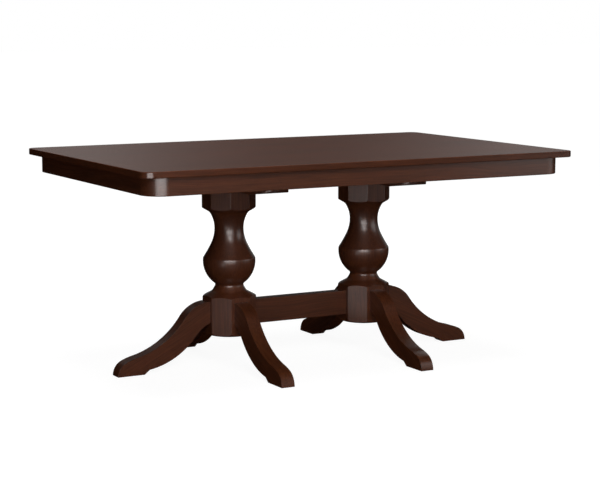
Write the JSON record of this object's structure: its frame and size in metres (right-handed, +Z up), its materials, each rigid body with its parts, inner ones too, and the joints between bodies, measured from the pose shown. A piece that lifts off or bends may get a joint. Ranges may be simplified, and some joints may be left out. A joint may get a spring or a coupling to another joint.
{
  "type": "double pedestal dining table",
  "caption": "Rectangular dining table with rounded corners and an apron, on turned pedestals with curved sabre legs that a stretcher ties together.",
  "frame": {"origin": "on the floor, under the middle of the top", "axes": "+X along the table's length, +Y across it, +Z up"},
  "size_m": [1.6764, 1.0668, 0.762],
  "materials": {
    "stained_wood": "satin",
    "inner_wood": "matte",
    "zinc_steel": "satin"
  },
  "bodies": {
    "root": {"table_top": "stained_wood", "apron_rail_front": "stained_wood", "apron_rail_right": "stained_wood", "apron_rail_back": "stained_wood", "apron_rail_left": "stained_wood", "apron_corner_front_left": "stained_wood", "apron_corner_front_right": "stained_wood", "apron_corner_back_left": "stained_wood", "apron_corner_back_right": "stained_wood", "mounting_plate_left": "stained_wood", "mounting_plate_right": "stained_wood", "column_left": "stained_wood", "column_right": "stained_wood", "leg_left_end": "stained_wood", "leg_left_front": "stained_wood", "leg_left_back": "stained_wood", "leg_right_end": "stained_wood", "leg_right_front": "stained_wood", "leg_right_back": "stained_wood", "stretcher": "stained_wood", "top_runner_front": "inner_wood", "top_runner_back": "inner_wood", "apron_tenons": "inner_wood", "apron_clips": "zinc_steel", "column_screws": "zinc_steel", "base_bolts": "zinc_steel", "base_washers": "zinc_steel", "base_nuts": "zinc_steel"}
  },
  "joints": []
}
